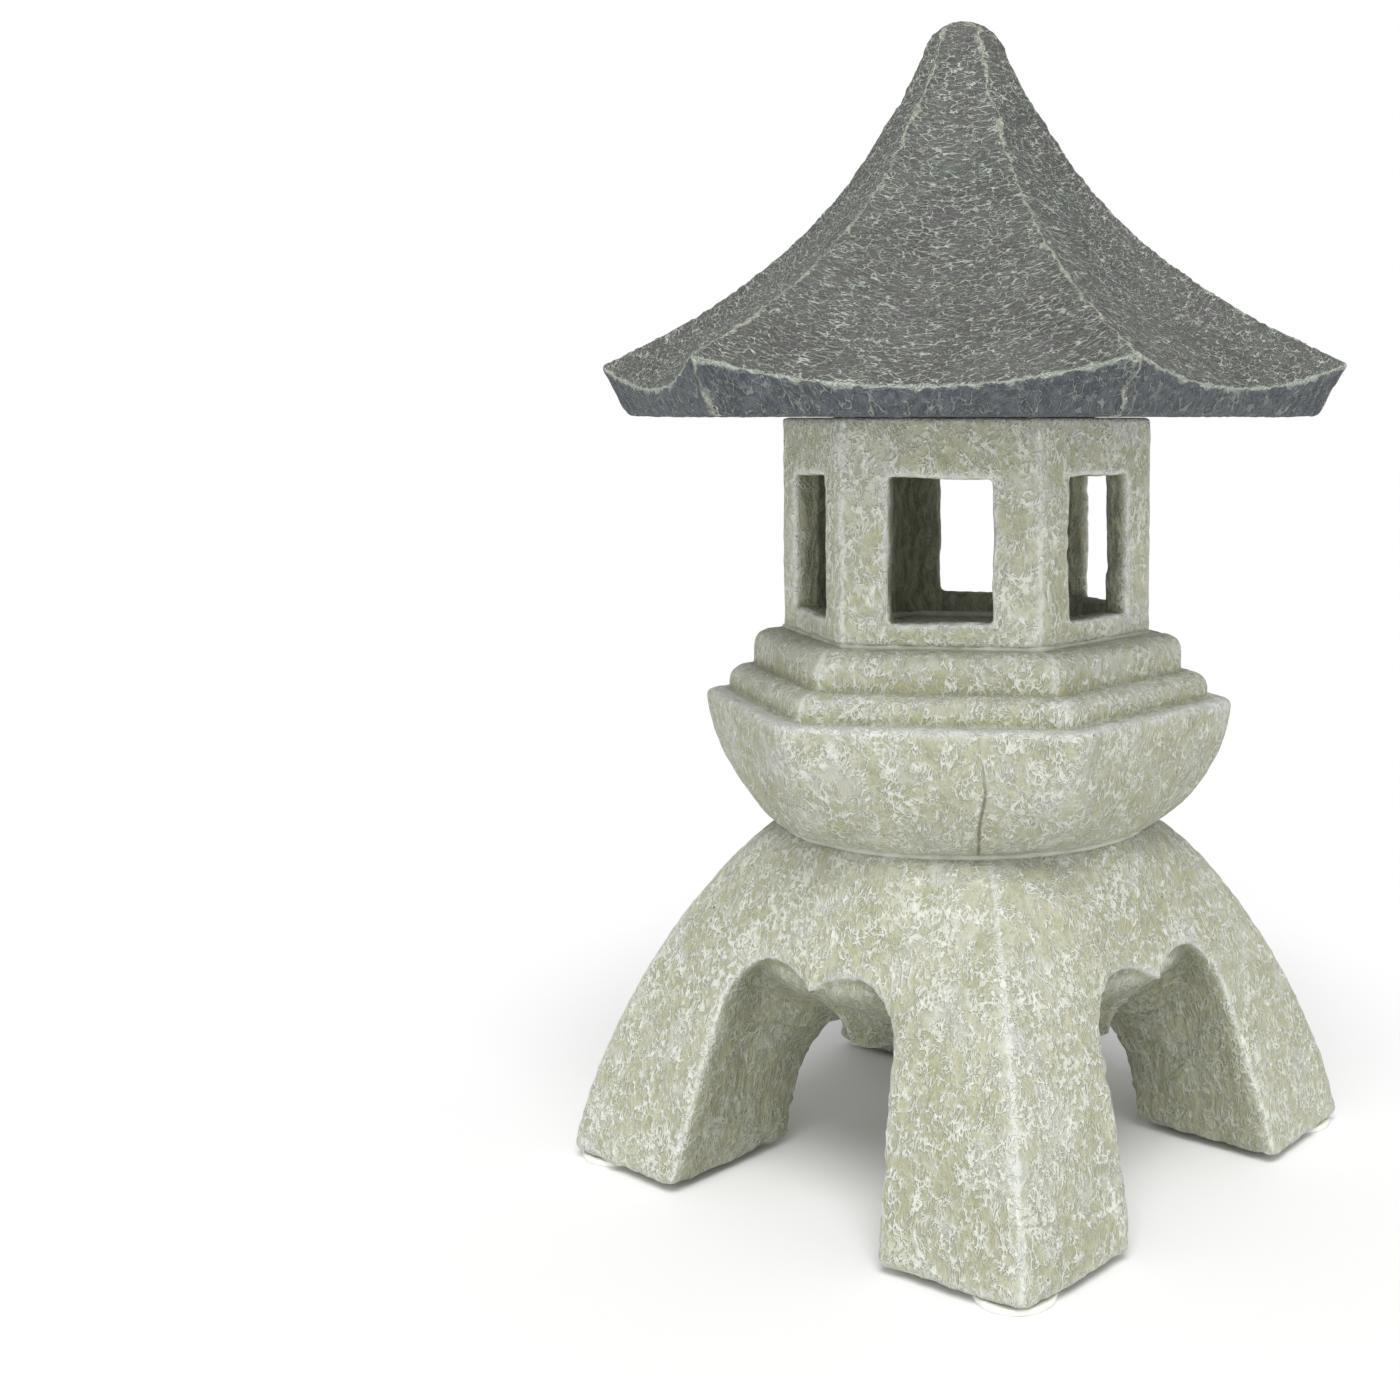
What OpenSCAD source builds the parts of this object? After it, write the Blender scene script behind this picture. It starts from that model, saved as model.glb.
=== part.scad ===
// Garden lantern of stacked cast stone: four-legged base, bowl-shaped platform, six-windowed
// light chamber and a flared six-sided roof that lifts off.
// Origin: on the ground under the centre of the lantern. +Z is up. The front face looks along -Y.
// The base has its sides along X and Y, and the six-sided stones have a face along -Y.

/* [Foot pads] */
// Diameter of each foot pad
pad_d = 39; // [30:1:42]
// Thickness of each foot pad
pad_h = 3; // [2:0.5:5]
// Distance of a pad's centre from the lantern's axis along X and along Y
pad_offset = 133; // [115:1:133]

/* [Base] */
// Height of the base stone
base_h = 176; // [160:1:190]
// Distance of a foot's outer corner from the axis
foot_corner_r = 214; // [208:1:220]
// Distance of the base's side from the axis at the ground, midway between two feet
foot_side_r = 158; // [154:1:162]
// Radius of the round top of the base
base_top_r = 100; // [98:1:106]
// Half of the width between two legs at the ground
tunnel_half_w = 73; // [70:1:80]
// Half of the width between two legs at the springing of the arch
spring_half_w = 62; // [58:1:70]
// Height of the springing of the arch above the ground
spring_z = 86; // [80:1:88]
// Height of the top of the arch's two lobes above the ground
lobe_z = 122; // [116:1:124]
// Height of the cusp that hangs between the lobes
cusp_z = 105; // [100:1:110]
// Radius of the belly under the base
belly_r = 121; // [116:1:122]
// Height of the lowest point of the belly
belly_z = 88; // [66:1:92]

/* [Platform] */
// Height of the bowl from its round bottom to its rim
bowl_h = 66; // [60:1:72]
// Distance of the rim's corners from the axis
rim_corner_r = 146; // [143:1:150]
// Distance of the lower step's corners from the axis
lower_step_corner_r = 133; // [130:1:135]
// Height of the lower step
lower_step_h = 14; // [12:1:18]
// Distance of the upper step's corners from the axis
upper_step_corner_r = 119; // [115:1:122]
// Height of the upper step
upper_step_h = 20; // [16:1:24]
// Diameter of the well that holds the tealight
well_d = 62; // [56:1:80]
// Depth of the well
well_depth = 17; // [16:0.5:24]

/* [Light chamber] */
// Height of the chamber's walls
chamber_h = 114; // [106:1:130]
// Distance of the chamber's outer corners from the axis
chamber_corner_r = 102; // [98:1:106]
// Thickness of the chamber's walls
wall_t = 15; // [12:0.5:17]
// Width of each window
window_w = 52.6; // [46:0.2:56]
// Height of each window
window_h = 72.5; // [66:0.5:76]
// Height of the window sills above the bottom of the chamber's walls
sill_h = 11.5; // [10:0.5:16]
// Radius of the windows' corners
window_corner_r = 4; // [2:0.5:8]

/* [Roof] */
// Height of the roof
roof_h = 212.7; // [200:0.1:230]
// Distance of the eave's corners from the axis
eave_corner_r = 206; // [200:1:215]
// Distance of the underside's corners from the axis
soffit_corner_r = 189.5; // [180:0.5:195]
// Height of the eave's corners above the underside
eave_corner_h = 28.7; // [24:0.1:34]
// Height of the middle of the eave above the underside
eave_middle_h = 14.7; // [12:0.1:20]
// Radius of the rounded tip
tip_r = 25; // [22:1:28]
// Radius of the locating ring under the roof
ring_r = 69; // [66:1:69]
// Height of the locating ring
ring_h = 8; // [5:1:12]
// Radius of the hollow under the roof
hollow_r = 58; // [50:1:60]
// Height of the hollow above the underside
hollow_h = 62; // [40:1:66]

/* [Joints] */
// Thickness of the mortar between the base and the platform
platform_bed_t = 2; // [1.5:0.5:3]
// Thickness of the mortar between the platform and the chamber
chamber_bed_t = 2; // [1.5:0.5:3]
// Gap under the loose roof and under the loose tealight
loose_gap = 0.3; // [0.2:0.1:0.5]
// Radius of the platform's tenon
tenon_r = 30; // [24:1:34]
// Length of the platform's tenon
tenon_h = 14; // [10:1:20]

/* [Tealight] */
// Diameter of the tealight's cup
cup_d = 38; // [36:0.5:40]
// Height of the tealight's cup
cup_h = 15; // [12:0.5:15]
// Thickness of the cup's metal
cup_t = 0.4; // [0.4:0.1:0.8]

/* [Hidden] */

stone_colour = [0.71, 0.71, 0.60];
mortar_colour = [0.83, 0.84, 0.79];
roof_colour = [0.45, 0.46, 0.45];
pad_colour = [0.93, 0.93, 0.88];
metal_colour = [0.80, 0.80, 0.80];
wax_colour = [0.95, 0.94, 0.90];
wick_colour = [0.90, 0.88, 0.82];

// Levels above the ground
base_top_z = pad_h + base_h;
bowl_z = base_top_z + platform_bed_t;
rim_z = bowl_z + bowl_h;
lower_step_z = rim_z + lower_step_h;
floor_z = lower_step_z + upper_step_h;
chamber_z = floor_z + chamber_bed_t;
chamber_top_z = chamber_z + chamber_h;
roof_z = chamber_top_z + loose_gap;
well_z = floor_z - well_depth;
tip_z = roof_z + roof_h - tip_r;

// Where the roof's flare meets its rounded tip: the angle above the tip's equator
neck_angle = 18;
// Angle between the rings of points on the rounded tip
tip_step = 12;
neck_r = tip_r * cos(neck_angle);
neck_z = tip_z + tip_r * sin(neck_angle);

// The steps' rounded top edges
step_round = 5;
// The small flat at the very top of the roof
tip_flat_r = 2;
// Gap between the tenon and its socket
tenon_gap = 1.5;
// How far the mortar stays behind the stones' edges
mortar_setback = 1;
// How far a cutting shape runs past the face it cuts
past = 1;

// Exponents of the curves: over 1 is convex, and under 1 is concave
leg_corner_curve = 1.38;
leg_side_curve = 1.15;
bowl_curve = 1.7;
belly_curve = 2.2;
// The roof's flare is a straight taper plus a power of the height below the neck
flare_taper = 0.46;
flare_power = 3.07;
// Rings of the flare lie closer together towards the eave by this exponent
flare_spacing = 1.5;
// The roof's sides turn from round at the neck to flat at the eave, by this exponent of the width
flare_flattening = 0.25;
// How far a roof side is hollowed at the eave, as a share of the corner's distance
side_hollow = 0.038;
// The belly's side is upright above this depth below the top of the arch
belly_shoulder = 4;

// Points on each side of a lofted stone's section
base_side_steps = 12;
hex_side_steps = 8;

// Distance from the axis to the middle of a straight side, over the distance to its corner
hex_flat = cos(30);

// Share left of a width after rising by the share y of a height, along the curve of exponent n
function fall(y, n) = pow(max(0, 1 - pow(y, n)), 1 / n);

// Value of a quantity that goes from a to b as t goes from 0 to 1
function mix(a, b, t) = a + (b - a) * t;

// A ring of points with straight or bowed sides. Its corners are at the distance corner_r and the
// height corner_z, and the middles of its sides at side_r and side_z. A corner lies at the angle turn.
function ring(sides, steps, corner_r, side_r, corner_z, side_z, turn) = [
    for (side = [0 : sides - 1])
        for (step = [0 : steps - 1])
            let (t = 2 * step / steps - 1,
                 bow = 1 - t * t,
                 half_angle = 180 / sides,
                 across = corner_r * sin(half_angle) * t,
                 out = mix(corner_r * cos(half_angle), side_r, bow),
                 a = turn + (side + 0.5) * 360 / sides)
            [out * cos(a) - across * sin(a), out * sin(a) + across * cos(a),
             mix(corner_z, side_z, bow)]
];

// A solid through rings that all have the same number of points, listed from the bottom up
module loft(rings) {
    count = len(rings[0]);
    last = len(rings) - 1;
    bottom = [for (i = [0 : count - 1]) i];
    top = [for (i = [0 : count - 1]) last * count + count - 1 - i];
    walls = [
        for (k = [0 : last - 1])
            for (i = [0 : count - 1])
                let (a = k * count + i, b = k * count + (i + 1) % count)
                each [[a, a + count, b], [b, a + count, b + count]]
    ];
    polyhedron(points = [for (r = rings) each r], faces = concat([bottom], walls, [top]));
}

// A square-cornered ring of the base at the share y of its height
function base_ring(y) =
    let (z = pad_h + base_h * y,
         corner = base_top_r + (foot_corner_r - base_top_r) * fall(y, leg_corner_curve),
         side = base_top_r + (foot_side_r - base_top_r) * fall(y, leg_side_curve))
    ring(4, base_side_steps, corner, side, z, z, 45);

// A six-cornered ring with straight sides
function hex_ring(corner_r, z) = ring(6, hex_side_steps, corner_r, corner_r * hex_flat, z, z, 0);

// A round ring
function round_ring(r, z) = ring(6, hex_side_steps, r, r, z, z, 0);

// A ring of the bowl at the share y of its height, round at the bottom and six-cornered at the rim
function bowl_ring(y) =
    let (z = bowl_z + bowl_h * y,
         share = fall(1 - y, bowl_curve),
         corner = mix(base_top_r, rim_corner_r, share),
         side = mix(base_top_r, rim_corner_r * hex_flat, share))
    ring(6, hex_side_steps, corner, side, z, z, 0);

// The rings of a step: an upright side and a rounded top edge
function step_rings(corner_r, bottom_z, top_z) = [
    hex_ring(corner_r, bottom_z),
    for (a = [0 : 30 : 90])
        hex_ring(corner_r - step_round * (1 - cos(a)), top_z - step_round * (1 - sin(a)))
];

// A ring of the roof's flare. The share t runs from 0 at the eave to 1 where the tip begins.
function flare_ring(t) =
    let (drop = 1 - pow(t, flare_spacing),
         width = flare_taper * drop + (1 - flare_taper) * pow(drop, flare_power),
         corner = mix(neck_r, eave_corner_r, width),
         flat = mix(1, hex_flat, pow(width, flare_flattening)),
         hollow = side_hollow * width,
         corner_z = mix(neck_z, roof_z + eave_corner_h, drop),
         dip = (eave_corner_h - eave_middle_h) * width)
    ring(6, hex_side_steps, corner, corner * (flat - hollow), corner_z, corner_z - dip, 0);

// Half of the arch's outline from its cusp to the ground: the lobe is two arcs
arch_inner_r = (pow(spring_half_w / 2, 2) + pow(lobe_z - cusp_z, 2)) / (2 * (lobe_z - cusp_z));
half_arch = [
    for (t = [0 : 0.25 : 0.75])
        let (x = spring_half_w / 2 * t)
        [x, lobe_z - arch_inner_r + sqrt(pow(arch_inner_r, 2) - pow(spring_half_w / 2 - x, 2))],
    for (a = [90 : -15 : 0])
        [spring_half_w / 2 * (1 + cos(a)), mix(spring_z, lobe_z, sin(a))],
    [tunnel_half_w, 0]
];

// The passage between two legs along Y, as if it went straight through the stone
module tunnel() {
    length = 2 * (foot_side_r + past);
    outline = concat([for (i = [len(half_arch) - 1 : -1 : 1]) [-half_arch[i][0], half_arch[i][1]]],
                     half_arch);
    translate([0, length / 2, 0])
        rotate([90, 0, 0])
        linear_extrude(length)
        polygon(outline);
}

// The rounded underside that hangs between the legs
module belly() {
    shoulder_z = lobe_z - belly_shoulder;
    rotate_extrude($fn = 96)
        polygon([
            for (a = [0 : 7.5 : 90])
                [belly_r * fall(cos(a), belly_curve), mix(shoulder_z, belly_z, cos(a))],
            [belly_r, base_top_z],
            [0, base_top_z]
        ]);
}

module base() {
    color(stone_colour)
    difference() {
        loft([for (a = [0 : 6 : 90]) base_ring(pow(sin(a), 2 / leg_corner_curve))]);
        difference() {
            union() {
                tunnel();
                rotate([0, 0, 90]) tunnel();
            }
            belly();
        }
        translate([0, 0, base_top_z - tenon_h - tenon_gap])
            cylinder(h = tenon_h + tenon_gap + past, r = tenon_r + tenon_gap, $fn = 64);
    }
}

// The pad under the foot on the side x (-1 left, 1 right) and y (-1 front, 1 back)
module foot_pad(x, y) {
    color(pad_colour)
        translate([x * pad_offset, y * pad_offset, 0])
        cylinder(h = pad_h, d = pad_d, $fn = 64);
}

module platform_mortar_bed() {
    color(mortar_colour)
    translate([0, 0, base_top_z])
    difference() {
        cylinder(h = platform_bed_t, r = base_top_r - 2 * mortar_setback, $fn = 96);
        translate([0, 0, -past])
            cylinder(h = platform_bed_t + 2 * past, r = tenon_r + tenon_gap, $fn = 64);
    }
}

module platform() {
    color(stone_colour)
    difference() {
        loft(concat(
            [round_ring(tenon_r, bowl_z - tenon_h), round_ring(tenon_r, bowl_z)],
            [for (a = [0 : 10 : 90]) bowl_ring(1 - cos(a))],
            step_rings(lower_step_corner_r, rim_z, lower_step_z),
            step_rings(upper_step_corner_r, lower_step_z, floor_z),
            [round_ring(tenon_r, floor_z)]));
        translate([0, 0, well_z])
            cylinder(h = well_depth + past, d = well_d, $fn = 64);
    }
}

// A prism with six sides whose corners are at corner_r, one of them along +X
module hex_prism(corner_r, h) {
    cylinder(h = h, r = corner_r, $fn = 6);
}

module chamber_mortar_bed() {
    inner_corner_r = chamber_corner_r - (wall_t - mortar_setback) / hex_flat;
    color(mortar_colour)
    translate([0, 0, floor_z])
    difference() {
        hex_prism(chamber_corner_r - mortar_setback, chamber_bed_t);
        translate([0, 0, -past]) hex_prism(inner_corner_r, chamber_bed_t + 2 * past);
    }
}

// The outline of a window, centred on its sill
module window_outline() {
    round_d = 2 * window_corner_r;
    translate([0, window_corner_r])
        hull()
        for (x = [-1, 1])
            for (z = [0, 1])
                translate([x * (window_w - round_d) / 2, z * (window_h - round_d)])
                circle(d = round_d, $fn = 24);
}

module light_chamber() {
    color(stone_colour)
    translate([0, 0, chamber_z])
    difference() {
        hex_prism(chamber_corner_r, chamber_h);
        translate([0, 0, -past])
            hex_prism(chamber_corner_r - wall_t / hex_flat, chamber_h + 2 * past);
        for (face = [0 : 5])
            rotate([0, 0, 60 * face])
            translate([0, -chamber_corner_r / 2, sill_h])
            rotate([90, 0, 0])
            linear_extrude(chamber_corner_r / 2)
            window_outline();
    }
}

module roof() {
    hollow_top_r = hollow_r / 2;
    color(roof_colour)
    difference() {
        loft(concat(
            [round_ring(ring_r, roof_z - ring_h), round_ring(ring_r, roof_z)],
            [hex_ring(soffit_corner_r, roof_z)],
            [for (t = [0 : 0.0625 : 1]) flare_ring(t)],
            [for (a = [neck_angle + tip_step : tip_step : 90 - tip_step])
                round_ring(tip_r * cos(a), tip_z + tip_r * sin(a))],
            [round_ring(tip_flat_r, tip_z + tip_r)]));
        translate([0, 0, roof_z - ring_h - past])
            cylinder(h = ring_h + past, r = hollow_r, $fn = 64);
        translate([0, 0, roof_z])
            cylinder(h = hollow_h, r1 = hollow_r, r2 = hollow_top_r, $fn = 64);
    }
}

// The tealight stands in the well, a loose fit above its floor
tealight_z = well_z + loose_gap;
wax_below_rim = 2.5;
wax_h = cup_h - cup_t - wax_below_rim;
clip_r = 6;
clip_t = 0.3;
clip_neck_r = 1.6;
clip_neck_h = 5;
wick_r = 0.9;
wick_above_wax = 6;

module tealight_cup() {
    color(metal_colour)
    translate([0, 0, tealight_z])
    difference() {
        cylinder(h = cup_h, d = cup_d, $fn = 64);
        translate([0, 0, cup_t])
            cylinder(h = cup_h, d = cup_d - 2 * cup_t, $fn = 64);
    }
}

// The wax fills the cup around the clip and the wick
module tealight_wax() {
    color(wax_colour)
    translate([0, 0, tealight_z + cup_t])
    difference() {
        cylinder(h = wax_h, d = cup_d - 2 * cup_t, $fn = 64);
        translate([0, 0, -past])
            cylinder(h = clip_t + past, r = clip_r, $fn = 48);
        translate([0, 0, -past])
            cylinder(h = clip_t + clip_neck_h + past, r = clip_neck_r, $fn = 32);
        translate([0, 0, -past])
            cylinder(h = wax_h + 2 * past, r = wick_r, $fn = 24);
    }
}

module wick_clip() {
    color(metal_colour)
    translate([0, 0, tealight_z + cup_t])
    difference() {
        union() {
            cylinder(h = clip_t, r = clip_r, $fn = 48);
            cylinder(h = clip_t + clip_neck_h, r = clip_neck_r, $fn = 32);
        }
        translate([0, 0, clip_t])
            cylinder(h = clip_neck_h + past, r = wick_r, $fn = 24);
    }
}

module tealight_wick() {
    color(wick_colour)
        translate([0, 0, tealight_z + cup_t + clip_t])
        cylinder(h = wax_h - clip_t + wick_above_wax, r = wick_r, $fn = 24);
}

base();
foot_pad(-1, -1);  // foot_pad_front_left
foot_pad(1, -1);  // foot_pad_front_right
foot_pad(-1, 1);  // foot_pad_back_left
foot_pad(1, 1);  // foot_pad_back_right
platform_mortar_bed();
platform();
chamber_mortar_bed();
light_chamber();
roof();
tealight_cup();
tealight_wax();
tealight_wick();
wick_clip();
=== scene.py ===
import math

import bpy
import numpy as np
from mathutils import Euler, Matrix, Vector, noise


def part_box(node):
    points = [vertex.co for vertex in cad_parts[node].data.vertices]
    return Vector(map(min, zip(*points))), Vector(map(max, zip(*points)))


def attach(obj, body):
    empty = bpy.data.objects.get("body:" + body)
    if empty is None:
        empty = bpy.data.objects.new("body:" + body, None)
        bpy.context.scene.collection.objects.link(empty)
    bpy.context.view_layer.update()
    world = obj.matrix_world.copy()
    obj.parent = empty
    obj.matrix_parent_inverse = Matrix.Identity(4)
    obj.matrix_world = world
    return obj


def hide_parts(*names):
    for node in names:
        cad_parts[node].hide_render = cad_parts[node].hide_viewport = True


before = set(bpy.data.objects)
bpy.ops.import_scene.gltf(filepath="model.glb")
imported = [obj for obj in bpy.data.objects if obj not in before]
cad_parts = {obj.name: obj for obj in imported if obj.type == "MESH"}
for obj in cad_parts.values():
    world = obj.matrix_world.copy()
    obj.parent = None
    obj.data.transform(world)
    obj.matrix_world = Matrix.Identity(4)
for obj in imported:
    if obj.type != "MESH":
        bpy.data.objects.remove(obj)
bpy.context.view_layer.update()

# A garden lantern of cast stone. Each stone is meshed from a distance function that follows the
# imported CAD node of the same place, with rounded arrises and hand-tooled relief. All lengths are
# in metres, and angles in radians unless a name says degrees.

MM = 0.001
HEX_FLAT = math.cos(math.pi / 6)

base_low, base_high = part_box("base")
platform_low, platform_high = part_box("platform")
chamber_low, chamber_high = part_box("light_chamber")
roof_low, roof_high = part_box("roof")


# ---------------- curves and distances

def mix(a, b, t):
    """The value on the way from a to b at the share t."""
    return a + (b - a) * t


def fall(share, exponent):
    """Share left of a width after rising by that share of a height."""
    return (1 - np.clip(share, 0, 1) ** exponent) ** (1 / exponent)


def soft_max(a, b, k):
    """The larger of two distances, with the edge between them rounded over the length k."""
    overlap = np.clip(1 - np.abs(a - b) / k, 0, 1)
    return np.maximum(a, b) + overlap * overlap * k / 4


def soft_min(a, b, k):
    """The smaller of two distances, with the corner between them filled over the length k."""
    return -soft_max(-a, -b, k)


def smooth_step(low, high, value):
    """0 below low, 1 above high, and a smooth rise between."""
    t = np.clip((value - low) / (high - low), 0, 1)
    return t * t * (3 - 2 * t)


def fold(x, y, sides, turn):
    """Radius, and the angle from the middle of the nearest side, of a section with corners at turn."""
    half_angle = math.pi / sides
    angle = np.abs(np.mod(np.arctan2(y, x) - turn, 2 * half_angle) - half_angle)
    return np.hypot(x, y), angle


def sided_wall(x, y, sides, turn, corner_r, side_r, k):
    """Distance outside a section with bowed sides, whose corners are rounded over k."""
    half_angle = math.pi / sides
    r, angle = fold(x, y, sides, turn)
    corner_out = corner_r * math.cos(half_angle)

    def beyond(angle_from_side):
        bow = 1 - (r * np.sin(angle_from_side) / (corner_r * math.sin(half_angle))) ** 2
        return r * np.cos(angle_from_side) - mix(corner_out, side_r, bow)

    return soft_max(beyond(angle), beyond(2 * half_angle - angle), k)


def hex_wall(x, y, corner_r, k):
    """Distance outside an upright hexagon with a corner on +X."""
    return sided_wall(x, y, 6, 0, corner_r, corner_r * HEX_FLAT, k)


def steepness(profile, z):
    """How much a distance along the horizontal overstates the true one, where the wall slopes."""
    step = 0.5 * MM
    slope = (profile(z + step) - profile(z - step)) / (2 * step)
    return np.sqrt(1 + slope * slope)


# ---------------- the base stone

FOOT_CORNER_R = 0.214
BASE_TOP_R = 0.100
LEG_CORNER_CURVE = 1.38
LEG_SIDE_CURVE = 1.15
TUNNEL_HALF_W = 0.073
SPRING_HALF_W = 0.062
SPRING_Z = 0.086
LOBE_Z = 0.122
CUSP_Z = 0.105
BELLY_R = 0.121
BELLY_Z = 0.085
SHOULDER_Z = LOBE_Z - 0.004
BELLY_CURVE = 2.2
FLANK_BULGE = 4 * MM
FLANK_MIDDLE = 0.115
TENON_R = 0.030
TENON_GAP = 1.5 * MM
LOBE_HALF_W = SPRING_HALF_W / 2
LOBE_INNER_R = (LOBE_HALF_W ** 2 + (LOBE_Z - CUSP_Z) ** 2) / (2 * (LOBE_Z - CUSP_Z))


def leg_corner(z):
    """Distance from the axis to a leg's outer ridge."""
    share = (z - base_low.z) / (base_high.z - base_low.z)
    return mix(BASE_TOP_R, FOOT_CORNER_R, fall(share, LEG_CORNER_CURVE))


def leg_side(z):
    """Distance from the axis to the middle of the base's side."""
    share = (z - base_low.z) / (base_high.z - base_low.z)
    return mix(BASE_TOP_R, base_high.x, fall(share, LEG_SIDE_CURVE))


def base_wall(x, y, z):
    """Distance outside the base's four outer faces."""
    wall = sided_wall(x, y, 4, math.pi / 4, leg_corner(z), leg_side(z), 7 * MM)
    return wall / steepness(leg_corner, z)


def tunnel(across, along, z):
    """Distance outside the two-lobed passage between two legs, whose flanks bulge a little."""
    bulge = FLANK_BULGE * np.clip(1 - ((np.abs(along) - FLANK_MIDDLE) / FLANK_MIDDLE) ** 2, 0, 1)
    u = np.abs(across) + bulge
    legs = np.maximum(u - mix(TUNNEL_HALF_W, SPRING_HALF_W, z / SPRING_Z), z - SPRING_Z)
    rise = (z - SPRING_Z) / (LOBE_Z - SPRING_Z)
    outer = (np.hypot((u - LOBE_HALF_W) / LOBE_HALF_W, rise) - 1) * LOBE_HALF_W
    above = z - (LOBE_Z - LOBE_INNER_R)
    own = np.hypot(u - LOBE_HALF_W, above) - LOBE_INNER_R
    other = np.hypot(u + LOBE_HALF_W, above) - LOBE_INNER_R
    inner = soft_min(own, other, 5 * MM)
    return np.minimum(legs, np.where(u > LOBE_HALF_W, outer, inner))


def belly(x, y, z):
    """Distance outside the round underside that hangs between the legs."""
    depth_r = SHOULDER_Z - BELLY_Z
    r = np.hypot(x, y) / BELLY_R
    depth = np.clip(SHOULDER_Z - z, 0, None) / depth_r
    reach = np.maximum((r ** BELLY_CURVE + depth ** BELLY_CURVE) ** (1 / BELLY_CURVE), 0.05)
    slope_r = r ** (BELLY_CURVE - 1) / BELLY_R
    slope_z = depth ** (BELLY_CURVE - 1) / depth_r
    return (reach - 1) / (reach ** (1 - BELLY_CURVE) * np.hypot(slope_r, slope_z) + 1e-6)


def base_underside(x, y, z, wall):
    """Distance outside the legs' flanks and the belly, which flow together away from the faces."""
    passages = np.minimum(tunnel(x, y, z), tunnel(y, x, z))
    fillet = mix(4 * MM, 62 * MM, smooth_step(6 * MM, 52 * MM, -wall))
    return soft_min(-passages, belly(x, y, z), fillet)


def base_distance(x, y, z):
    """Distance outside the base stone."""
    wall = base_wall(x, y, z)
    stone = soft_max(wall, base_underside(x, y, z, wall), 3.5 * MM)
    stone = soft_max(stone, base_low.z - z, 6 * MM)
    stone = soft_max(stone, z - base_high.z, 1.5 * MM)
    socket_floor = platform_low.z - TENON_GAP
    socket = np.maximum(np.hypot(x, y) - TENON_R - TENON_GAP, socket_floor - z)
    return np.maximum(stone, -socket)


# ---------------- the platform stone

BOWL_Z = base_high.z + 2 * MM
RIM_Z = BOWL_Z + 0.066
LOWER_STEP_Z = RIM_Z + 0.014
LOWER_STEP_CORNER_R = 0.133
UPPER_STEP_CORNER_R = 0.119
BOWL_CURVE = 1.7
# Angle of the mould's parting line on the bowl
SEAM_ANGLE = math.radians(222)
WELL_R = 0.031
WELL_DEPTH = 0.017


def bowl_share(z):
    """0 at the bowl's round bottom, and 1 at its six-cornered rim."""
    return fall(1 - (z - BOWL_Z) / (RIM_Z - BOWL_Z), BOWL_CURVE)


def bowl_corner(z):
    """Distance from the axis to the bowl's corners."""
    return mix(BASE_TOP_R, platform_high.x, bowl_share(z))


def bowl_side(z):
    """Distance from the axis to the middle of the bowl's sides."""
    return mix(BASE_TOP_R, platform_high.x * HEX_FLAT, bowl_share(z))


def step_distance(x, y, z, corner_r, top_z):
    """Distance outside a six-sided step with a rounded upper edge."""
    side = hex_wall(x, y, corner_r, 6 * MM)
    return np.maximum(soft_max(side, z - top_z, 10 * MM), RIM_Z - 10 * MM - z)


def platform_distance(x, y, z):
    """Distance outside the bowl, its two steps and its tenon."""
    r = np.hypot(x, y)
    bowl = sided_wall(x, y, 6, 0, bowl_corner(z), bowl_side(z), 7 * MM)
    bowl = bowl / steepness(bowl_corner, z)
    bowl = soft_max(bowl, z - RIM_Z, 4 * MM)
    bowl = soft_max(bowl, BOWL_Z - z, 1.5 * MM)
    lower = step_distance(x, y, z, LOWER_STEP_CORNER_R, LOWER_STEP_Z)
    upper = step_distance(x, y, z, UPPER_STEP_CORNER_R, platform_high.z)
    stone = soft_min(soft_min(bowl, lower, 2 * MM), upper, 2 * MM)
    tenon = np.maximum(r - TENON_R, np.maximum(platform_low.z - z, z - RIM_Z))
    stone = soft_min(stone, tenon, 2 * MM)
    well = np.maximum(r - WELL_R, platform_high.z - WELL_DEPTH - z)
    return soft_max(stone, -well, 2.5 * MM)


# ---------------- the light chamber

WALL_T = 0.015
WINDOW_W = 52.6 * MM
WINDOW_H = 72.5 * MM
SILL_H = 11.5 * MM
WINDOW_CORNER_R = 2.5 * MM


def chamber_distance(x, y, z):
    """Distance outside the six-windowed chamber."""
    outer = hex_wall(x, y, chamber_high.x, 7 * MM)
    inner = hex_wall(x, y, chamber_high.x - WALL_T / HEX_FLAT, 7 * MM)
    walls = soft_max(outer, -inner, 3 * MM)
    walls = soft_max(walls, chamber_low.z - z, 1.5 * MM)
    walls = soft_max(walls, z - chamber_high.z, 3 * MM)
    return soft_max(walls, -window_distance(x, y, z), 3.5 * MM)


def window_distance(x, y, z):
    """Distance outside the nearest window's opening."""
    r, angle = fold(x, y, 6, 0)
    middle_z = chamber_low.z + SILL_H + WINDOW_H / 2
    waver = 0.3 * MM * (np.sin(z / (5 * MM) + 90 * x) + np.sin(z / (9 * MM) - 70 * y))
    dip = 0.3 * MM * (np.sin(x / (6.1 * MM)) + np.sin(y / (9.3 * MM) + 1))
    past_side = r * np.sin(angle) - WINDOW_W / 2 + WINDOW_CORNER_R + waver
    past_end = np.abs(z - middle_z) - WINDOW_H / 2 + WINDOW_CORNER_R + dip
    corner = np.hypot(np.maximum(past_side, 0), np.maximum(past_end, 0))
    return corner + np.minimum(np.maximum(past_side, past_end), 0) - WINDOW_CORNER_R


# ---------------- the roof

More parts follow.
